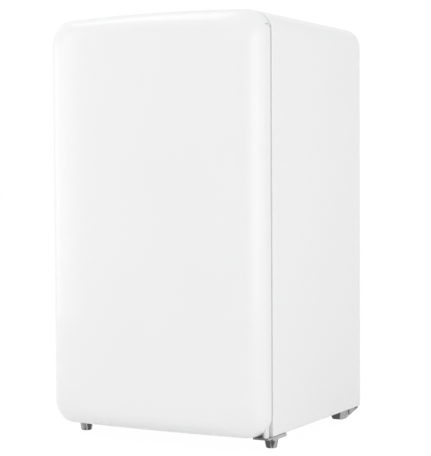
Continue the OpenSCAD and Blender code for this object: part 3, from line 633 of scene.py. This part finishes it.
@dataclass
class DoorSkin:
    """The pressed door skin with its pillow front, return lip and hinge openings."""
    body: Body = field(default_factory=Body)
    crown: float = 12.0
    pillow_w: float = 58.0
    pillow_h: float = 38.0
    pillow_d: float = 43.0
    fullness: float = 2.5
    corner_r: float = 42.0
    face_r: float = 55.0
    rear_round: float = 5.0
    lip: float = 12.0
    sheet: float = 1.2
    slot_r: float = 9.4
    slot_w: float = 9.0
    slot_gap: float = 0.5
    notch: tuple[float, float, float] = (27.0, 4.0, 12.0)
    notch_gap: float = 1.8
    bush_r: float = 5.5
    bush_rise: float = 30.0
    grip_z: tuple[float, float] = (370.0, 510.0)
    grip_w: float = 13.0
    grip_d: float = 24.0
    corner_steps: int = 22
    top_steps: int = 40

    def outline(self, dx: float, dz: float, radius: float) -> list[tuple[float, float]]:
        """A closed outline drawn in by dx and dz."""
        b = self.body
        low = b.door_z0 + dz
        width = b.side_x - dx - radius
        bottom = [(width * (2 * k / self.top_steps - 1), low) for k in range(1, self.top_steps)]
        return (b.upper_edge(b.side_x - dx, b.edge_z - dz, radius, self.corner_steps,
                             self.top_steps)
                + arc(-width, low + radius, radius, 180, 270, self.corner_steps) + bottom
                + arc(width, low + radius, radius, 270, 360, self.corner_steps))

    def pillow_ring(self, degrees: float, inset: float, back: float) -> Ring:
        """One ring between the flat face at 0 degrees and the full outline at 90."""
        angle = math.radians(degrees)
        s = max(0.0, math.sin(angle)) ** (2 / self.fullness)
        c = max(0.0, math.cos(angle)) ** (2 / self.fullness)
        b = self.body
        depth = (self.pillow_d - inset + back - b.door_back) * (1 - c)
        radius = max(self.face_r + (self.corner_r - self.face_r) * math.sin(angle) - inset, 4)
        return [(x, b.door_edge_y + inset + depth - self.crown * (1 - (x / b.side_x) ** 2), z)
                for x, z in self.outline(inset + self.pillow_w * (1 - s),
                                         inset + self.pillow_h * (1 - s), radius)]

    def edge_ring(self, y: float, inset: float) -> Ring:
        """A flat ring of the full outline, drawn in."""
        return [(x, y, z) for x, z in self.outline(inset, inset, max(self.corner_r - inset, 4))]

    def lip_ring(self, y: float) -> Ring:
        """The edge of the return lip, straight along the top like the liner it holds."""
        b = self.body
        return [(x, y, z - b.lift(x) * (z > b.edge_z / 2))
                for x, y, z in self.edge_ring(y, self.lip)]

    def rings(self, inset: float, back: float, steps: int) -> list[Ring]:
        """Rings of one surface from the face to its rounded back edge."""
        front = [self.pillow_ring(90 * k / steps, inset, back) for k in range(steps + 1)]
        turn = []
        for k in range(7):
            angle = math.pi / 2 * k / 6
            turn.append(self.edge_ring(back - self.rear_round * (1 - math.sin(angle)),
                                       inset + self.rear_round * (1 - math.cos(angle))))
        return front + turn

    def build(self) -> bpy.types.Object:
        """Makes the skin and lets it ride on the door."""
        b = self.body
        outer = self.rings(0.0, b.door_back, 36)
        lip = [self.lip_ring(b.door_back), self.lip_ring(b.door_back - self.sheet)]
        inner = self.rings(self.sheet, b.door_back - self.sheet, 16)[::-1]
        skin = loft("door_skin_smooth", outer + lip + inner, caps=strip_cap)
        top = b.upper_plate_z
        far, near, deep = self.notch
        cut(skin, [
            box_cutter((b.hinge_x - self.slot_w, b.hinge_y - self.slot_r, top - self.slot_gap),
                       (b.side_x + 1, b.door_back + 1, top + b.upper_plate + self.slot_gap)),
            box_cutter((b.hinge_x - far, b.hinge_y - deep, 0),
                       (b.hinge_x - near, b.door_back + 1, b.cabinet_z0 + self.notch_gap)),
            pole_cutter((b.hinge_x, b.hinge_y, 0), self.bush_r, b.cabinet_z0 + self.bush_rise),
            box_cutter((-b.side_x - 1, b.door_back - self.grip_d, self.grip_z[0]),
                       (self.grip_w - b.side_x, b.door_back + 1, self.grip_z[1])),
        ])
        dress(skin, "door", PAINT, ("door_skin",))
        return skin


@dataclass
class CabinetShell:
    """The folded cabinet shell with a rolled front edge."""
    body: Body = field(default_factory=Body)
    corner_r: float = 40.0
    base_r: float = 4.5
    sheet: float = 1.0
    flange: float = 22.0
    return_w: float = 14.0
    roll: float = 1.8
    plate: tuple[float, float, float] = (5.5, 5.0, 4.0)
    plate_gap: float = 0.5

    def ring(self, y: float, inset: float) -> Ring:
        """The front outline at a depth, drawn in."""
        b = self.body
        w = b.side_x - inset
        r = max(self.base_r - inset, 1.5)
        low = b.cabinet_z0 + inset + r
        points = (arc(r - w, low, r, 180, 270, 5) + arc(w - r, low, r, 270, 360, 5)
                  + b.upper_edge(w, b.edge_z - inset, max(self.corner_r - inset, 4), 22, 40))
        return [(x, y, z) for x, z in points]

    def build(self) -> bpy.types.Object:
        """Makes the shell and lets it ride on the cabinet."""
        b = self.body
        front, back = b.cabinet_front, b.cabinet_back
        rings = [self.ring(front, self.flange)]
        for k in range(7):
            angle = math.pi / 2 * k / 6
            rings.append(self.ring(front + self.roll * (1 - math.cos(angle)),
                                   self.roll * (1 - math.sin(angle))))
        rings += [self.ring(back, 0.0), self.ring(back, self.sheet),
                  self.ring(front + self.sheet, self.sheet),
                  self.ring(front + self.sheet, self.flange)]
        shell = loft("cabinet_shell_smooth", rings, closed=True, degrees=40.0)
        top, gap = b.upper_plate_z, self.plate_gap
        left, right, deep = self.plate
        cut(shell, [
            box_cutter((self.return_w - b.side_x, front + self.sheet, b.cabinet_z0 - 1),
                       (b.side_x - self.return_w, back + 1, b.cabinet_z0 + 2)),
            box_cutter((b.hinge_x - left - gap, b.hinge_y, top - gap),
                       (b.hinge_x + right + gap, front + deep + gap, top + b.upper_plate + gap)),
        ], 40.0)
        dress(shell, "cabinet", PAINT, ("cabinet_shell",))
        return shell


@dataclass
class DoorSeal:
    """The soft seal around the door's back, with bellows on both sides of its magnet block."""
    body: Body = field(default_factory=Body)
    inset: float = 14.0
    width: float = 12.0
    corner_r: float = 28.0
    play: float = 0.3
    half: tuple[tuple[float, float], ...] = (
        (0.06, 0.0), (0.0, 0.15), (0.02, 0.26), (0.11, 0.36), (0.02, 0.46), (0.0, 0.58),
        (0.09, 0.72), (0.02, 0.86), (0.05, 0.95), (0.12, 1.0))

    def ring(self, across: float, through: float) -> Ring:
        """A rounded outline at a place in the section, both from 0 to 1."""
        b = self.body
        inset = self.inset + self.width * across
        radius = self.corner_r - self.width * across
        x = b.side_x - inset
        base, tip = b.door_back + 0.05, b.cabinet_front - self.play
        corners = ((x, b.edge_z - inset, 0), (-x, b.edge_z - inset, 90),
                   (-x, b.door_z0 + inset, 180), (x, b.door_z0 + inset, 270))
        points = []
        for cx, cz, start in corners:
            points += arc(cx - math.copysign(radius, cx),
                          cz - math.copysign(radius, cz - b.edge_z / 2), radius, start,
                          start + 90, 12)
        return [(px, base + (tip - base) * through, pz) for px, pz in points]

    def build(self) -> bpy.types.Object:
        """Makes the seal and lets it ride on the door."""
        section = self.half + tuple((1 - u, v) for u, v in reversed(self.half))
        seal = loft("door_seal", [self.ring(u, v) for u, v in section], closed=True, degrees=50.0)
        dress(seal, "door", SEAL, ("door_gasket",))
        return seal


@dataclass
class Compressor:
    """The hermetic compressor: a drawn pot and its cap, welded at a lip, on a pressed foot."""
    centre: tuple[float, float, float] = (-50.0, 152.0, 44.2)
    stretch: float = 16.0
    pot_r: float = 57.0
    lip_r: float = 59.5
    lip_z: tuple[float, float] = (58.0, 62.0)
    dome_z: float = 88.0
    top_z: float = 124.5
    ear: tuple[float, float] = (78.0, 44.0)
    ear_hole: float = 4.2

    def profile(self) -> list[tuple[float, float]]:
        """Radius and height from the bottom of the pot to the top of the cap."""
        points = [(36.0, 4.0)]
        for k in range(1, 9):
            angle = math.pi / 2 * k / 8
            points.append((43 + 14 * math.sin(angle), 18 - 14 * math.cos(angle)))
        low, high = self.lip_z
        points += [(self.pot_r, low - 1.5), (self.lip_r - 0.6, low - 0.6),
                   (self.lip_r, low + 0.4), (self.lip_r, high - 0.6), (self.lip_r - 0.7, high),
                   (self.pot_r - 0.6, high + 0.8)]
        for k in range(15):
            angle = math.pi / 2 * k / 14
            points.append((2 + (self.pot_r - 3) * math.cos(angle),
                           self.dome_z + (self.top_z - self.dome_z) * math.sin(angle)))
        return points

    def ring(self, radius: float, height: float) -> Ring:
        """A stadium outline at a height."""
        cx, cy, cz = self.centre
        right = arc(cx + self.stretch, cy, radius, -90, 90, 28)
        left = arc(cx - self.stretch, cy, radius, 90, 270, 28)
        return [(x, y, cz + height) for x, y in right + left]

    def foot_ring(self, inset: float, height: float) -> Ring:
        """The pressed foot's rounded outline at a height."""
        cx, cy, cz = self.centre
        w, d, r = self.ear[0] + 12 - inset, self.ear[1] + 9 - inset, 12.0 - inset
        points = []
        for sx, sy, start in ((1, 1, 0), (-1, 1, 90), (-1, -1, 180), (1, -1, 270)):
            points += arc(cx + sx * (w - r), cy + sy * (d - r), r, start, start + 90, 8)
        return [(x, y, cz + height) for x, y in points]

    def build(self) -> bpy.types.Object:
        """Makes the pot and its foot as one piece."""
        cx, cy, cz = self.centre
        pot = loft("compressor_pot", [self.ring(r, z) for r, z in self.profile()], caps=fan_cap,
                   degrees=50.0)
        foot = loft("compressor_foot", [self.foot_ring(inset, z) for inset, z in (
            (0.5, 0.0), (0.0, 0.5), (0.0, 2.5), (0.5, 3.0))], caps=fan_cap)
        cut(foot, [pole_cutter((cx + sx * self.ear[0], cy + sy * self.ear[1], cz - 1),
                               self.ear_hole, 6.0) for sx in (-1, 1) for sy in (-1, 1)])
        collar = loft("compressor_collar", [self.ring(r, z) for r, z in (
            (24.0, 2.9), (26.0, 3.4), (25.0, 4.6), (22.0, 5.6))], caps=fan_cap)
        join(pot, [foot, collar])
        dress(pot, "cabinet", BLACK, ("compressor",))
        return pot


class Side(Enum):
    """A side of the refrigerator, seen from the front."""
    LEFT = "left"
    RIGHT = "right"


@dataclass
class LevellingFoot:
    """A screw foot with a fluted rim that is turned by hand."""
    side: Side = Side.LEFT
    place: tuple[float, float] = (214.0, -146.0)
    flutes: int = 18
    flute_depth: float = 0.7

    def profile(self) -> list[tuple[float, float, float]]:
        """Radius, height and share of the flutes from the sole to the stud's hole."""
        sole = [(8.5 + 2.5 * math.sin(a), 2.5 - 2.5 * math.cos(a), 0.0)
                for a in (math.pi / 2 * k / 6 for k in range(7))]
        return sole + [(11.4, 5.0, 0.0), (12.3, 9.5, 0.2), (12.85, 13.0, 1.0), (13.0, 14.2, 1.0),
                       (13.0, 16.4, 1.0), (12.6, 17.0, 0.8), (9.4, 18.4, 0.0), (8.6, 18.9, 0.0),
                       (7.2, 20.5, 0.0), (6.6, 20.9, 0.0), (4.0, 20.9, 0.0), (4.0, 8.1, 0.0)]

    def build(self) -> bpy.types.Object:
        """Makes the foot and lets it ride on its own body."""
        x = self.place[0] if self.side is Side.RIGHT else -self.place[0]
        foot = lathe("levelling_foot_" + self.side.value, (x, self.place[1], 0.0), self.profile(),
                     self.flutes * 8, self.flutes, self.flute_depth)
        dress(foot, "foot_" + self.side.value, FOOT, ("front_foot_" + self.side.value,))
        return foot


@dataclass
class DialMarks:
    """Raised ticks and a pointer line on the thermostat knob, and a mark on its housing."""
    knob_x: float = 183.4
    knob_z: float = 742.0
    skirt_y: float = -81.5
    grip_y: float = -94.5
    housing_y: float = -78.0
    ticks: int = 11
    sweep: float = 270.0

    def build(self) -> list[bpy.types.Object]:
        """Makes the marks in two pieces, one on each body."""
        bars = []
        for k in range(self.ticks):
            turn = math.radians(self.sweep * (k / (self.ticks - 1) - 0.5))
            long = 2.2 if k % 5 == 0 else 1.4
            bars.append(self.bar(turn, 14.8 - long, 14.8, 0.6, self.skirt_y, 0.25))
        bars.append(self.bar(0.0, 3.0, 11.4, 1.0, self.grip_y, 0.2))
        ring = bars[0]
        join(ring, bars[1:])
        ring.name = "dial_marks"
        dress(ring, "thermostat_knob", GREY, ())
        mark = self.bar(0.0, 17.4, 21.0, 1.4, self.housing_y, 0.25)
        mark.name = "dial_index"
        dress(mark, "cabinet", GREY, ())
        return [ring, mark]

    def bar(self, turn: float, inner: float, outer: float, width: float, face: float,
            rise: float) -> bpy.types.Object:
        """A flat bar along a radius, with a bevelled front."""
        rings = []
        for grow, y in ((0.0, face + 0.1), (0.0, face - rise * 0.5), (-0.12, face - rise)):
            ring = []
            for r, w in ((inner - grow, -width / 2 - grow), (outer + grow, -width / 2 - grow),
                         (outer + grow, width / 2 + grow), (inner - grow, width / 2 + grow)):
                ring.append((self.knob_x + r * math.sin(turn) + w * math.cos(turn), y,
                             self.knob_z + r * math.cos(turn) - w * math.sin(turn)))
            rings.append(ring)
        return loft("bar", rings, caps=fan_cap)


@dataclass
class LensRibs:
    """Half-round ribs that spread the lamp's light over the diffuser."""
    face_x: float = 163.4
    front: float = -46.0
    back: float = 10.0
    low: float = 727.5
    high: float = 756.5
    count: int = 12
    rise: float = 0.9

    def build(self) -> bpy.types.Object:
        """Makes the row of ribs and lets it ride on the cabinet."""
        pitch = (self.back - self.front) / self.count
        ribs = []
        for k in range(self.count):
            y = self.front + pitch * (k + 0.5)
            section = [(self.face_x - self.rise * math.sin(a), y - pitch * 0.42 * math.cos(a))
                       for a in (math.pi * i / 8 for i in range(9))]
            section.append((self.face_x + 0.2, y + pitch * 0.42))
            section.append((self.face_x + 0.2, y - pitch * 0.42))
            ribs.append(loft("lens_ribs", [[(x, v, z) for x, v in section]
                                           for z in (self.low, self.high)], caps=fan_cap))
        join(ribs[0], ribs[1:])
        dress(ribs[0], "cabinet", LENS, ())
        return ribs[0]


@dataclass
class PanelScrews:
    """Round-head screws with a cross recess along the edges of the back panel."""
    face_y: float = 228.0
    side_x: float = 229.0
    heights: tuple[float, ...] = (205.0, 300.0, 400.0, 500.0, 600.0, 700.0)
    top_z: float = 824.0
    top_x: tuple[float, ...] = (-150.0, -50.0, 50.0, 150.0)
    radius: float = 4.2
    recess: tuple[float, float] = (2.2, 0.45)
    recess_y: tuple[float, float] = (1.2, 3.0)

    def places(self) -> list[tuple[float, float]]:
        """Where the screws sit, as X and Z."""
        sides = [(x, z) for x in (-self.side_x, self.side_x) for z in self.heights]
        return sides + [(x, self.top_z) for x in self.top_x]

    def screw(self, x: float, z: float) -> bpy.types.Object:
        """One domed head with its recess."""
        r = self.radius
        reach, half = self.recess
        low, high = (self.face_y + rise for rise in self.recess_y)
        head = []
        for share, rise in ((1.0, -0.2), (1.0, 0.5), (0.93, 1.1), (0.78, 1.7), (0.55, 2.15),
                            (0.28, 2.4)):
            head.append([(x + share * r * math.cos(a), self.face_y + rise,
                          z + share * r * math.sin(a))
                         for a in (2 * math.pi * k / 24 for k in range(24))])
        piece = loft("screw", head, caps=fan_cap)
        cut(piece, [box_cutter((x - w, low, z - h), (x + w, high, z + h))
                    for w, h in ((reach, half), (half, reach))])
        return piece

    def build(self) -> bpy.types.Object:
        """Makes all screws as one piece on the cabinet."""
        screws = [self.screw(x, z) for x, z in self.places()]
        join(screws[0], screws[1:])
        screws[0].name = "back_panel_screws"
        dress(screws[0], "cabinet", BRIGHT, ())
        return screws[0]


def dress(piece: bpy.types.Object, body: str, finish: Finish, nodes: Sequence[str]) -> None:
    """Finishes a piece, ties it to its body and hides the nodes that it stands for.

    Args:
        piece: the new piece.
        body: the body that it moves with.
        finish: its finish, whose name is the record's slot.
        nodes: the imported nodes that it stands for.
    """
    piece.data.materials.clear()
    piece.data.materials.append(finish.material())
    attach(piece, body)
    if nodes:
        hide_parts(*nodes)


def finish_nodes() -> None:
    """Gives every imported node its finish."""
    for finish, nodes in NODE_FINISHES.items():
        for name in nodes:
            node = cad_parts[name]
            for slot in node.material_slots:
                slot.material = finish.material()
            LOG.info("node %s: %s", name, finish.name)


def soften_nodes() -> None:
    """Rounds the sharp edges of moulded and pressed nodes with bevels."""
    for width, names in SOFT_EDGES.items():
        for name in names:
            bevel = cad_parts[name].modifiers.new("soft_edges", "BEVEL")
            bevel.width = width * MM
            bevel.segments = 2
            bevel.limit_method = "ANGLE"
            bevel.angle_limit = math.radians(40.0)
            bevel.harden_normals = True


# ---------------------------------------------------------------- studio
@dataclass
class Softbox:
    """A large even lamp that faces a point of the object."""
    name: str
    azimuth: float
    height: float
    distance: float
    size: tuple[float, float]
    power: float

    def build(self, target: Vector) -> None:
        """Adds the lamp, aimed at target."""
        lamp = bpy.data.lights.new(self.name, "AREA")
        lamp.shape = "RECTANGLE"
        lamp.size, lamp.size_y = self.size
        lamp.energy = self.power
        holder = bpy.data.objects.new(self.name, lamp)
        angle = math.radians(self.azimuth)
        holder.location = target + Vector((math.sin(angle) * self.distance,
                                           -math.cos(angle) * self.distance, self.height))
        holder.rotation_euler = (target - holder.location).to_track_quat("-Z", "Y").to_euler()
        bpy.context.scene.collection.objects.link(holder)


@dataclass
class Studio:
    """White surroundings, soft lamps and the camera."""
    ambient: float = 0.71
    floor_glow: float = 0.95
    floor_light: float = 1.02
    floor_reach: float = 30.0
    target: tuple[float, float, float] = (0.0, 0.0, 0.42)
    lens: float = 112.14
    place: tuple[float, float, float] = (1.4358, -2.5833, 0.5230)
    heading: float = 28.845
    pitch: float = 2.07
    roll: float = -0.29
    lamps: tuple[Softbox, ...] = (
        Softbox("left_softbox", -75.0, -0.08, 2.6, (1.4, 1.8), 8.7),
        Softbox("left_front_strip", -50.0, 0.0, 2.6, (0.8, 2.2), 8.0),
        Softbox("right_front_softbox", 45.0, 0.1, 2.8, (1.2, 2.2), 9.9),
        Softbox("right_softbox", 65.0, 0.1, 2.8, (1.0, 2.2), 9.4),
        Softbox("side_softbox", 95.0, 0.0, 2.8, (1.6, 2.0), 5.4),
        Softbox("top_softbox", -50.0, 2.6, 1.2, (2.0, 1.6), 14.5),
        Softbox("top_front_softbox", -20.0, 1.9, 2.2, (2.2, 1.4), 2.6),
    )

    def world(self) -> None:
        """An even world that is white where the camera sees it."""
        world = bpy.data.worlds.new("studio")
        bpy.context.scene.world = world
        world.use_nodes = True
        graph = Graph(world.node_tree)
        lit, shown = (graph.output("ShaderNodeBackground", 0, {},
                                   {"Color": WHITE_LIGHT, "Strength": level})
                      for level in (self.ambient, 1.0))
        graph.node("ShaderNodeOutputWorld", {}, {"Surface": graph.blend(graph.seen(), lit, shown)})

    def floor(self) -> None:
        """A wide pale floor that keeps a faint shadow."""
        reach = self.floor_reach
        plane = mesh_piece("floor", [(-reach, -reach, 0), (reach, -reach, 0), (reach, reach, 0),
                                     (-reach, reach, 0)], [(0, 1, 2, 3)])
        shader = Shader("floor_sweep")
        shader.set(Base_Color=(0.9, 0.9, 0.9, 1), Roughness=0.9)
        glow = shader.output("ShaderNodeEmission", 0, {},
                             {"Color": WHITE_LIGHT, "Strength": self.floor_light})
        lit = Value(shader, shader.body.outputs[0])
        share = shader.seen() * self.floor_glow
        shader.feed(shader.end, {"Surface": shader.blend(share, lit, glow)})
        plane.data.materials.append(shader.material)

    def camera(self) -> None:
        """The camera, turned by its heading, pitch and roll."""
        heading, pitch = math.radians(self.heading), math.radians(self.pitch)
        forward = Vector((-math.sin(heading) * math.cos(pitch),
                          math.cos(heading) * math.cos(pitch), -math.sin(pitch)))
        right = forward.cross(Vector((0, 0, 1))).normalized()
        up = right.cross(forward)
        turn = Matrix((right, up, -forward)).transposed() @ Matrix.Rotation(
            math.radians(self.roll), 3, "Z")
        data = bpy.data.cameras.new("camera")
        data.lens = self.lens
        data.sensor_width = 36.0
        data.clip_end = 60.0
        holder = bpy.data.objects.new("camera", data)
        holder.matrix_world = Matrix.Translation(self.place) @ turn.to_4x4()
        bpy.context.scene.collection.objects.link(holder)
        bpy.context.scene.camera = holder

    def build(self) -> None:
        """Sets up surroundings, lamps and camera."""
        self.camera()
        self.world()
        self.floor()
        for lamp in self.lamps:
            lamp.build(Vector(self.target))
        bpy.context.scene.view_settings.view_transform = "Standard"


def main() -> None:
    """Builds everything in order."""
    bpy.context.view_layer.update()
    Studio().build()
    finish_nodes()
    soften_nodes()
    feet = [LevellingFoot(side) for side in Side]
    for part in (DoorSkin(), CabinetShell(), DoorSeal(), Compressor(), *feet, DialMarks(),
                 LensRibs(), PanelScrews()):
        made = part.build()
        for piece in made if isinstance(made, list) else [made]:
            LOG.info("piece %s: %d faces", piece.name, len(piece.data.polygons))


if __name__ == "__main__":
    logging.basicConfig(level=logging.INFO)
    main()
